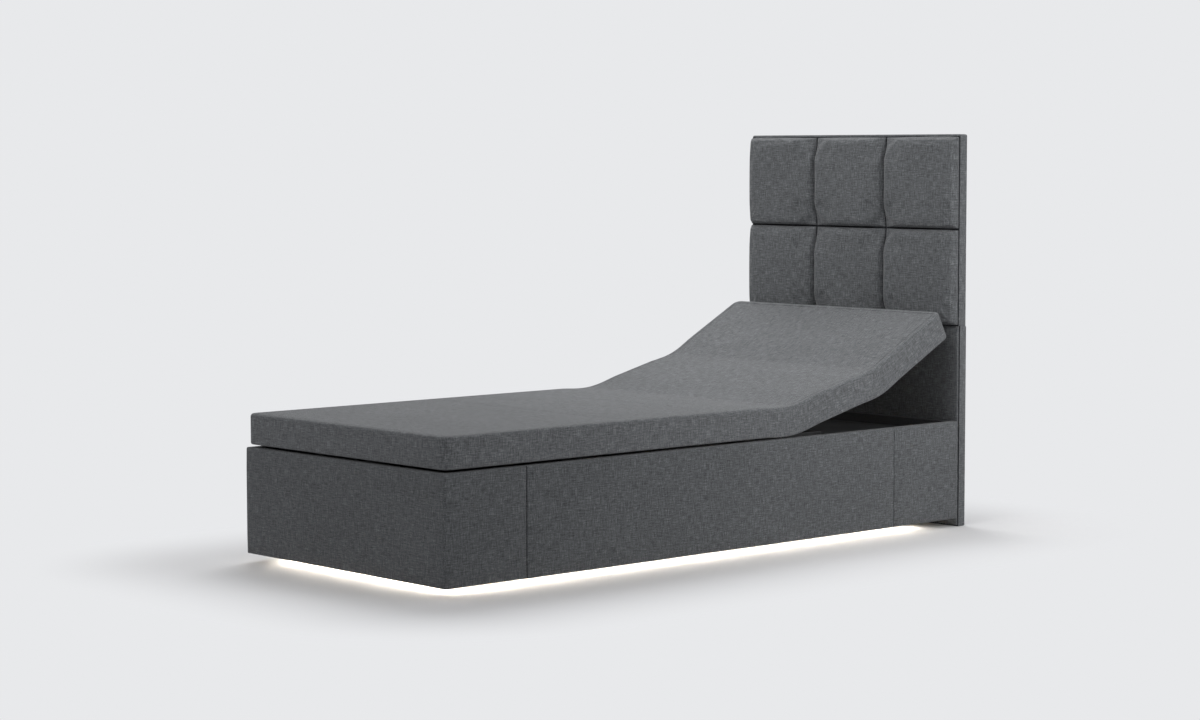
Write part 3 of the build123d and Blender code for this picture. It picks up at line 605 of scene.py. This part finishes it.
def lay_cloth(piece):
    """UV map in metres by each face's main direction, each piece from its own part of the cloth."""
    edit(piece)
    bpy.ops.mesh.select_all(action="SELECT")
    bpy.ops.uv.cube_project(
        cube_size=1.0, correct_aspect=False, clip_to_bounds=False, scale_to_bounds=False)
    done()
    corner = Vector(piece.bound_box[0])
    cut = Vector((CLOTH_CUT_ACROSS * corner.x + corner.y, CLOTH_CUT_UP * corner.z))
    for spot in piece.data.uv_layers.active.uv:
        spot.vector += cut


def smooth(piece, angle=35):
    only(piece)
    bpy.ops.object.shade_smooth_by_angle(angle=radians(angle))


def dress(piece, slot, *nodes):
    """Material, slot and the solids that the piece stands for."""
    piece.data.materials.clear()
    piece.data.materials.append(finish(slot))
    if nodes:
        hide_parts(*nodes)
    return piece


def swell_panel(piece, sizes, ends):
    """Foam crown: pushes the outer faces out between the seams."""
    rise = sizes.crown
    for point in piece.data.vertices:
        x, y, z = point.co
        inset = min(abs(y - end) for end in ends)
        level = min(1.0, inset / sizes.crown_run) ** CROWN_CURVE
        lift = max(0.0, min(1.0, (RIM_Z - z) / sizes.crown_edge, (z - GAP_Z) / sizes.crown_edge))
        if abs(x) > HALF_W - FACE_SLACK:
            point.co.x += (rise if x > 0 else -rise) * level * lift
        if y < FOOT_Y + FACE_SLACK:
            point.co.y -= rise * lift


# Pieces


class BED_OT_surround(bpy.types.Operator):
    """Upholstered foot module, long sides and head module of the base"""

    bl_idname = "bed.surround"
    bl_label = "Surround"

    def foot_module(self, sizes):
        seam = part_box("foot_return_right")[1].y
        cover = block("foot_module_cover", (-HALF_W, FOOT_Y, GAP_Z), (HALF_W, seam, RIM_Z))
        edit(cover)
        pick_faces(cover, lambda middle, normal: abs(normal.z) > 0.5 or normal.y > 0.5)
        bpy.ops.mesh.delete(type="FACE")
        done()
        apply(cover, "SOLIDIFY", thickness=PANEL_T, offset=-1, use_even_offset=True)

        def outer(point):
            return abs(point.x) > HALF_W - PANEL_T / 2 or point.y < FOOT_Y + PANEL_T / 2

        def inner(point):
            return not outer(point)

        def at_seam(point):
            return near(point.y, seam)

        roll_edges(cover, [
            (lambda a, b: near(a.y, FOOT_Y) and near(b.y, FOOT_Y) and near(a.x, b.x), sizes.corner),
            (lambda a, b: both(a, b, outer, on_rim) and not both(a, b, at_seam), sizes.rim),
            (lambda a, b: both(a, b, outer, on_hem), sizes.hem),
            (lambda a, b: both(a, b, outer, at_seam), sizes.seam),
            (lambda a, b: both(a, b, inner, on_rim), sizes.seam),
        ], ROLL_SEGMENTS)
        slice_up(cover, 0, steps(-HALF_W + sizes.margin, HALF_W - sizes.margin, sizes.grid))
        slice_up(cover, 1, steps(FOOT_Y + sizes.margin, seam - sizes.clear, sizes.grid))
        slice_up(cover, 2, steps(GAP_Z + sizes.clear, RIM_Z - sizes.rim - sizes.clear, sizes.grid))
        swell_panel(cover, sizes, [seam])
        return dress(cover, "surround_fabric", "foot_panel", "foot_return_left", "foot_return_right")

    def long_panel(self, sizes, name, node, way):
        low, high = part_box(node)
        cover = block(name, low, high)
        face = high.x if way > 0 else low.x

        def outer(point):
            return near(point.x, face)

        def inner(point):
            return not outer(point)

        def at_headboard(point):
            return near(point.y, BASE_END)

        roll_edges(cover, [
            (lambda a, b: both(a, b, outer, on_rim), sizes.rim),
            (lambda a, b: both(a, b, outer, on_hem), sizes.hem),
            (lambda a, b: both(a, b, outer, at_headboard), sizes.end),
            (lambda a, b: both(a, b, outer), sizes.seam),
            (lambda a, b: both(a, b, inner, on_rim), sizes.seam),
        ], ROLL_SEGMENTS)
        slice_up(cover, 1, steps(low.y + sizes.clear, high.y - sizes.clear, sizes.grid))
        slice_up(cover, 2, steps(GAP_Z + sizes.clear, RIM_Z - sizes.rim - sizes.clear, sizes.grid))
        swell_panel(cover, sizes, [low.y, high.y])
        return dress(cover, "surround_fabric", node)

    def execute(self, context):
        sizes = context.scene.bed_surround
        covers = [self.foot_module(sizes)]
        for word, way in (("left", -1), ("right", 1)):
            covers.append(self.long_panel(sizes, f"side_cover_{word}", f"side_panel_{word}", way))
            covers.append(self.long_panel(sizes, f"head_cover_{word}", f"head_return_{word}", way))
        for cover in covers:
            lay_cloth(cover)
            smooth(cover)
            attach(cover, "base")
        return {"FINISHED"}


def turned(point, pivot, turn):
    """A point turned about an axis across the bed."""
    y = point.y - pivot.y
    z = point.z - pivot.z
    along = y * cos(turn) - z * sin(turn)
    up = y * sin(turn) + z * cos(turn)
    return Vector((point.x, pivot.y + along, pivot.z + up))


def folded(point, pivot, turn, start, end):
    """Where a flat point rests, so that its share of the fold brings it back to flat."""
    run = end - start
    here = point
    for _ in range(FOLD_ROUNDS):
        t = max(0.0, min(1.0, (here - start).dot(run) / run.length_squared))
        here = turned(point, pivot, turn * t * t * (3 - 2 * t))
    return here


class BED_OT_deck(bpy.types.Operator):
    """Padded deck cover: one long tray, creased over the four hinge lines and cut in four, the lumbar and back
    pieces folded to their rest slope
    """

    bl_idname = "bed.deck"
    bl_label = "Deck Cover"

    def tray(self, sizes, hinges):
        """The whole cover, flat."""
        tray = block("deck_tray", (-DECK_HALF, DECK_FOOT, DECK_LOW), (DECK_HALF, DECK_HEAD, DECK_TOP))
        edit(tray, "EDGE")
        pick_edges(tray, lambda a, b: not near(a.z, b.z))
        bpy.ops.mesh.bevel(offset=sizes.corner, segments=6, affect="EDGES")
        bpy.ops.mesh.select_mode(type="FACE")
        pick_faces(tray, lambda middle, normal: normal.z < -0.5)
        bpy.ops.mesh.inset(thickness=sizes.border)
        bpy.ops.mesh.extrude_region_move(
            TRANSFORM_OT_translate={"value": (0, 0, DECK_TOP - DECK_LOW - sizes.top)})
        done()

        def on_top(point):
            return near(point.z, DECK_TOP)

        def underside(point):
            return near(point.z, DECK_LOW)

        def rim(point):
            return abs(point.x) > DECK_HALF - sizes.corner + TOUCH or not (
                DECK_FOOT + sizes.border - TOUCH < point.y < DECK_HEAD - sizes.border + TOUCH)

        roll_edges(tray, [
            (lambda a, b: both(a, b, on_top), sizes.roll),
            (lambda a, b: both(a, b, underside, rim), sizes.hem),
        ], ROLL_SEGMENTS)
        edit(tray)
        pick_faces(tray, lambda middle, normal: normal.z > 0.9 and near(middle.z, DECK_TOP))
        bpy.ops.mesh.inset(thickness=sizes.seam)
        bpy.ops.mesh.inset(thickness=sizes.stitch, depth=-sizes.stitch)
        bpy.ops.mesh.inset(thickness=sizes.stitch, depth=sizes.stitch)
        done()
        end = sizes.end_margin
        side = sizes.side_margin
        slice_up(tray, 1, steps(DECK_FOOT + end, DECK_HEAD - end, sizes.station))
        slice_up(tray, 0, steps(-DECK_HALF + side, DECK_HALF - side, sizes.column))
        for point in tray.data.vertices:
            x, y, z = point.co
            if z > DECK_TOP - sizes.crease_layer and abs(x) < DECK_HALF - sizes.crease_end:
                off = min(abs(y - hinge) for hinge in hinges)
                point.co.z -= sizes.crease * max(0.0, 1 - (off / sizes.crease_half) ** 2)
        return tray

    def execute(self, context):
        sizes = context.scene.bed_deck
        pivots = {name: Vector(joint["pos_m"]) for name, joint in JOINTS.items()}
        back = pivots["lumbar_hinge"]
        head = pivots["back_hinge"]
        thigh = pivots["thigh_hinge"]
        knee = pivots["knee_hinge"]
        lumbar_l = (head - back).length
        tray = self.tray(sizes, (back.y, back.y + lumbar_l, thigh.y, knee.y))
        lay_cloth(tray)
        mid_thigh = (knee.y + thigh.y) / 2
        mid_seat = (thigh.y + back.y) / 2
        mid_lumbar = back.y + lumbar_l / 2
        # Each piece lies over one hinge; turn is the slope there at rest, in rest turns
        for name, bodies, pivot, turn, fold, ends, nodes in (
            ("deck_cover_calf", ("calf", "thigh"), knee, 0.0, sizes.leg_fold,
             (None, mid_thigh), ("calf_cover",)),
            ("deck_cover_thigh", ("thigh", "base"), thigh, 0.0, sizes.leg_fold,
             (mid_thigh, mid_seat), ("thigh_cover", "seat_cover")),
            ("deck_cover_lumbar", ("base", "lumbar"), back, 0.5, sizes.back_fold,
             (mid_seat, mid_lumbar), ("lumbar_cover",)),
            ("deck_cover_back", ("lumbar", "back"), head, 1.5, sizes.head_fold,
             (mid_lumbar, None), ("back_cover",)),
        ):
            cover = copy(tray, name)
            for place, side in ((ends[0], "clear_inner"), (ends[1], "clear_outer")):
                if place is not None:
                    edit(cover, "VERT")
                    bpy.ops.mesh.select_all(action="SELECT")
                    bpy.ops.mesh.bisect(
                        plane_co=(0, place, 0), plane_no=(0, 1, 0), use_fill=True, **{side: True})
                    done()
            along = Vector((0, cos(turn * REST_TURN), sin(turn * REST_TURN))) * (fold / 2)
            for point in cover.data.vertices:
                if turn > 1:
                    point.co = turned(point.co, back, REST_TURN)
                if turn:
                    point.co = folded(point.co, pivot, REST_TURN, pivot - along, pivot + along)
            dress(cover, "deck_fabric", *nodes)
            smooth(cover, angle=40)
            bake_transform(cover)
        bpy.data.objects.remove(tray)
        return {"FINISHED"}


class BED_OT_headboard(bpy.types.Operator):
    """Headboard: wrapped board, flat lower panel and six filled pads"""

    bl_idname = "bed.headboard"
    bl_label = "Headboard"

    def board(self, sizes):
        low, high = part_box("headboard_board")
        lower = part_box("headboard_lower_pad")[1]
        pads_top = high.z
        high.z += sizes.wadding
        front = low.y
        step = lower.z + BOARD_STEP
        low.y = lower.y
        board = block("headboard_wrap", low, high)
        slice_up(board, 2, [step])
        edit(board)
        pick_faces(board, lambda middle, normal: normal.y < -0.9 and middle.z > step)
        bpy.ops.mesh.extrude_region_move(TRANSFORM_OT_translate={"value": (0, front - low.y, 0)})
        done()

        def at_back(point):
            return near(point.y, high.y)

        def at_front(point):
            return near(point.y, front)

        roll_edges(board, [
            (lambda a, b: not near(a.y, b.y) and min(a.z, b.z) > high.z - TOUCH, sizes.board_corner),
            (lambda a, b: both(a, b, at_back) and not near(a.z, step), sizes.board_back),
            (lambda a, b: both(a, b, at_front) and max(a.z, b.z) > step + BOARD_STEP, sizes.board_front),
        ], BOARD_SEGMENTS)
        edit(board)
        pick_faces(board, lambda middle, normal: normal.y > 0.99)
        bpy.ops.mesh.inset(thickness=sizes.turn_in)
        bpy.ops.mesh.inset(thickness=sizes.lining_edge, depth=-sizes.lining_drop)
        # Cuts the front at the pads' top, so the painted shade of the lining stays behind the pads
        pick_faces(board, lambda middle, normal: normal.y < -0.1)
        bpy.ops.mesh.bisect(plane_co=(0, 0, pads_top), plane_no=(0, 0, 1))
        done()
        lay_cloth(board)
        dress(board, "headboard_fabric", "headboard_board")
        board.data.materials.append(finish("lining"))
        # Painted shade: the board's front behind the pads takes the dark lining and darkens the seams between
        # pads; the lining on the back is real
        for face in board.data.polygons:
            lined_back = face.normal.y > 0.99 and face.center.y < high.y - FACE_SLACK
            painted_shade_behind_pads = face.normal.y < -0.7 and face.center.z < pads_top
            if lined_back or painted_shade_behind_pads:
                face.material_index = 1
        return board

    def lower_panel(self, sizes):
        low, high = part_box("headboard_lower_pad")
        low.x += sizes.gap
        high.x -= sizes.gap
        panel = block("headboard_lower_panel", low, high)
        roll_edges(panel, [(lambda a, b: near(a.y, low.y) and near(b.y, low.y), sizes.panel_roll)],
                   BOARD_SEGMENTS)
        margin = 2 * sizes.panel_roll
        slice_up(panel, 0, steps(low.x + margin, high.x - margin, sizes.panel_grid))
        slice_up(panel, 2, steps(low.z + margin, high.z - margin, sizes.panel_grid))
        lay_cloth(panel)
        return dress(panel, "headboard_fabric", "headboard_lower_pad")

    def pad(self, sizes, name, node, pull):
        """One filled pad: a shaped block, remeshed and swelled as cloth; pull is its left and right."""
        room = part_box(node)
        low, high = room
        board = high.y
        middle = (low.x + high.x) / 2
        inset = Vector((sizes.valley, 0, sizes.valley))
        low, high = low + inset, high - inset
        pad = block(name, (low.x, board - PAD_BLANK, low.z), high)
        edit(pad)
        bpy.ops.mesh.select_all(action="SELECT")
        bpy.ops.mesh.subdivide(number_cuts=PAD_CUTS)
        done()
        crown = (board - low.y) - sizes.seam + sizes.proud
        for point in pad.data.vertices:
            x, y, z = point.co
            held = pull[0] if x < middle else pull[1]
            across = min(x - low.x, high.x - x)
            up = min(z - low.z, high.z - z)
            rise = 1.0
            side = sizes.side + held * (sizes.roll - sizes.side)
            for near_edge, along, roll in ((across, up, side), (up, across, sizes.roll)):
                roll += held * sizes.slack * max(0.0, 1 - along / sizes.reach) ** 2
                t = max(0.0, min(1.0, near_edge / roll))
                rise *= sqrt(1 - (1 - t) ** 2)
            corner = held * ((1 - min(1.0, across / sizes.pinch)) * (1 - min(1.0, up / sizes.pinch))) ** 2
            crest = 1.0
            for place, start, end in ((x, low.x, high.x), (z, low.z, high.z)):
                crest -= PAD_DOME * (2 * (place - start) / (end - start) - 1) ** 2
            depth = (board - y) / PAD_BLANK
            swell = crown * rise * crest * (1 - PAD_CORNER_DIP * corner)
            point.co.y = board - depth * (sizes.seam + swell)
        only(pad)
        pad.data.remesh_voxel_size = sizes.voxel
        bpy.ops.object.voxel_remesh()
        apply(pad, "SMOOTH", factor=0.5, iterations=2)
        self.fill(pad, sizes, room)
        apply(pad, "SUBSURF", levels=1, render_levels=1)
        return pad

    def fill(self, pad, sizes, room):
        """Cloth under pressure, held along the back, its movement capped within its place."""
        low, high = room
        board = high.y
        start = [point.co.copy() for point in pad.data.vertices]
        held = pad.vertex_groups.new(name="held")
        edge = board - sizes.seam * PAD_HELD
        held.add([i for i, co in enumerate(start) if co.y > edge], 1.0, "REPLACE")
        only(pad)
        tool = pad.modifiers.new("Filling", "CLOTH")
        cloth = tool.settings
        cloth.quality = 5
        cloth.mass = 0.25
        cloth.use_pressure = True
        cloth.uniform_pressure_force = 4.0
        cloth.tension_stiffness = 30
        cloth.bending_stiffness = 1.2
        cloth.vertex_group_mass = "held"
        cloth.effector_weights.gravity = 0.0
        tool.collision_settings.use_collision = False
        for step in range(1, sizes.steps + 1):
            bpy.context.scene.frame_set(step)
        bpy.ops.object.modifier_apply(modifier=tool.name)
        bpy.context.scene.frame_set(1)
        for point, was in zip(pad.data.vertices, start):
            move = point.co - was
            if move.length > sizes.swell:
                point.co = was + move.normalized() * sizes.swell
            point.co.x = max(low.x, min(high.x, point.co.x))
            point.co.y = min(point.co.y, board)
            point.co.z = max(low.z, min(high.z, point.co.z))
        pad.vertex_groups.clear()

    def execute(self, context):
        sizes = context.scene.bed_headboard
        pieces = [self.board(sizes), self.lower_panel(sizes)]
        for row in ("lower", "upper"):
            left = self.pad(sizes, f"pad_{row}_left", f"headboard_pad_{row}_left", (sizes.outer, 1.0))
            centre = self.pad(sizes, f"pad_{row}_centre", f"headboard_pad_{row}_centre", (1.0, 1.0))
            right = copy(left, f"pad_{row}_right")
            right.data.transform(Matrix.Scale(-1, 4, (1, 0, 0)))
            right.data.flip_normals()
            for word, pad in (("left", left), ("centre", centre), ("right", right)):
                lay_cloth(pad)
                dress(pad, "headboard_fabric", f"headboard_pad_{row}_{word}")
                pieces.append(pad)
        for piece in pieces:
            smooth(piece)
            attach(piece, "base")
        return {"FINISHED"}


class BED_OT_fittings(bpy.types.Operator):
    """Finishes of the boards, steelwork, drive, feet and light strips"""

    bl_idname = "bed.fittings"
    bl_label = "Fittings"

    def execute(self, context):
        for name, node in frame["nodes"].items():
            slot = SLOTS[name]
            node.data.materials.clear()
            node.data.materials.append(finish("dark_board" if slot.endswith("_fabric") else slot))
        return {"FINISHED"}


class BED_OT_stage(bpy.types.Operator):
    """Pale floor, soft studio light, backdrop and camera"""

    bl_idname = "bed.stage"
    bl_label = "Studio"

    def floor(self, look):
        bpy.ops.object.select_all(action="DESELECT")
        bpy.ops.mesh.primitive_circle_add(
            vertices=96, radius=FLOOR_R, fill_type="NGON", location=(0, 0, -FLOOR_DROP))
        floor = bpy.context.object
        floor.name = "studio_floor"
        bpy.ops.object.transform_apply(location=True, rotation=True, scale=True)
        paint = Finish("studio_floor", Roughness=0.9, Specular_IOR_Level=0.1)
        path = paint.node("ShaderNodeLightPath", None, None, "Is Camera Ray")
        paint.feed(Base_Color=paint.blend(path, (*look.bounce, 1), (*look.floor, 1)))
        axes = paint.node("ShaderNodeSeparateXYZ", None, {0: paint.place()})
        middle = (FOOT_Y + BASE_END) / 2
        from_middle = paint.maths("ABSOLUTE", axes.part("Y") - middle)
        beside = paint.maths("MAXIMUM", paint.maths("ABSOLUTE", axes) - HALF_W)
        beyond = paint.maths("MAXIMUM", from_middle - (BASE_END - middle))
        far = paint.maths("SQRT", beside * beside + beyond * beyond)
        fade = paint.node("ShaderNodeMapRange", {"interpolation_type": "SMOOTHSTEP"},
                          {"Value": far, "From Min": look.shadow_start, "From Max": look.shadow_end})
        plain = paint.node("ShaderNodeEmission", None, {"Color": (*look.backdrop, 1), "Strength": 1.0})
        surface = paint.node("ShaderNodeMixShader", None,
                             {0: fade * path, 1: Wire(paint, paint.shader.outputs[0]), 2: plain})
        paint.plug(paint.nodes["Material Output"].inputs["Surface"], surface)
        floor.data.materials.append(paint.material)

    def world(self, look):
        world = bpy.data.worlds.new("studio")
        bpy.context.scene.world = world
        world.use_nodes = True
        nodes = world.node_tree.nodes
        links = world.node_tree.links
        nodes.clear()
        seen = nodes.new("ShaderNodeBackground")
        seen.inputs["Color"].default_value = (*look.backdrop, 1)
        soft = nodes.new("ShaderNodeBackground")
        soft.inputs["Color"].default_value = (*look.sky, 1)
        soft.inputs["Strength"].default_value = look.sky_strength
        path = nodes.new("ShaderNodeLightPath")
        first = nodes.new("ShaderNodeMath")
        first.operation = "MAXIMUM"
        direct = nodes.new("ShaderNodeMath")
        direct.operation = "MAXIMUM"
        mix = nodes.new("ShaderNodeMixShader")
        out = nodes.new("ShaderNodeOutputWorld")
        links.new(path.outputs["Is Camera Ray"], first.inputs[0])
        links.new(path.outputs["Is Glossy Ray"], first.inputs[1])
        links.new(first.outputs[0], direct.inputs[0])
        links.new(path.outputs["Is Transmission Ray"], direct.inputs[1])
        links.new(direct.outputs[0], mix.inputs[0])
        links.new(soft.outputs[0], mix.inputs[1])
        links.new(seen.outputs[0], mix.inputs[2])
        links.new(mix.outputs[0], out.inputs["Surface"])

    def lamp(self, name, place, aim, size, energy, spread):
        bpy.ops.object.light_add(type="AREA", location=place)
        lamp = bpy.context.object
        lamp.name = name
        lamp.data.shape = "RECTANGLE"
        lamp.data.size, lamp.data.size_y = size
        lamp.data.energy = energy
        lamp.data.spread = radians(spread)
        lamp.visible_camera = False
        lamp.rotation_euler = (Vector(aim) - Vector(place)).to_track_quat("-Z", "Y").to_euler()

    def execute(self, context):
        look = context.scene.bed_stage
        self.floor(look)
        self.world(look)
        for row in LAMPS:
            self.lamp(*row)
        bpy.ops.object.camera_add(location=CAMERA_PLACE)
        camera = context.object
        camera.data.lens = CAMERA_LENS
        camera.data.sensor_width = 36
        camera.data.shift_x = CAMERA_SHIFT
        camera.rotation_euler = (radians(90 - CAMERA_TILT), 0, radians(CAMERA_TURN))
        context.scene.camera = camera
        context.scene.view_settings.view_transform = "Standard"
        return {"FINISHED"}


class BED_PT_panel(bpy.types.Panel):
    """Steps of the bed base, in order"""

    bl_idname = "BED_PT_panel"
    bl_label = "Bed Base"
    bl_space_type = "VIEW_3D"
    bl_region_type = "UI"
    bl_category = "Bed Base"

    def draw(self, context):
        for operator in OPERATORS:
            self.layout.operator(operator.bl_idname)
        for group in GROUPS.values():
            box = self.layout.box()
            settings = getattr(context.scene, group)
            for key in settings.bl_rna.properties.keys():
                if key not in ("rna_type", "name"):
                    box.prop(settings, key)


OPERATORS = (BED_OT_fittings, BED_OT_surround, BED_OT_deck, BED_OT_headboard, BED_OT_stage)
GROUPS = {
    FabricLook: "bed_fabric",
    SurroundSizes: "bed_surround",
    DeckSizes: "bed_deck",
    HeadboardSizes: "bed_headboard",
    StageLook: "bed_stage",
}


def register():
    for group, name in GROUPS.items():
        bpy.utils.register_class(group)
        setattr(bpy.types.Scene, name, PointerProperty(type=group))
    for part in (*OPERATORS, BED_PT_panel):
        bpy.utils.register_class(part)


def unregister():
    for part in (BED_PT_panel, *reversed(OPERATORS)):
        bpy.utils.unregister_class(part)
    for group, name in GROUPS.items():
        delattr(bpy.types.Scene, name)
        bpy.utils.unregister_class(group)


def main():
    register()
    bpy.ops.bed.fittings()
    bpy.ops.bed.surround()
    bpy.ops.bed.deck()
    bpy.ops.bed.headboard()
    bpy.ops.bed.stage()


if __name__ == "__main__":
    main()
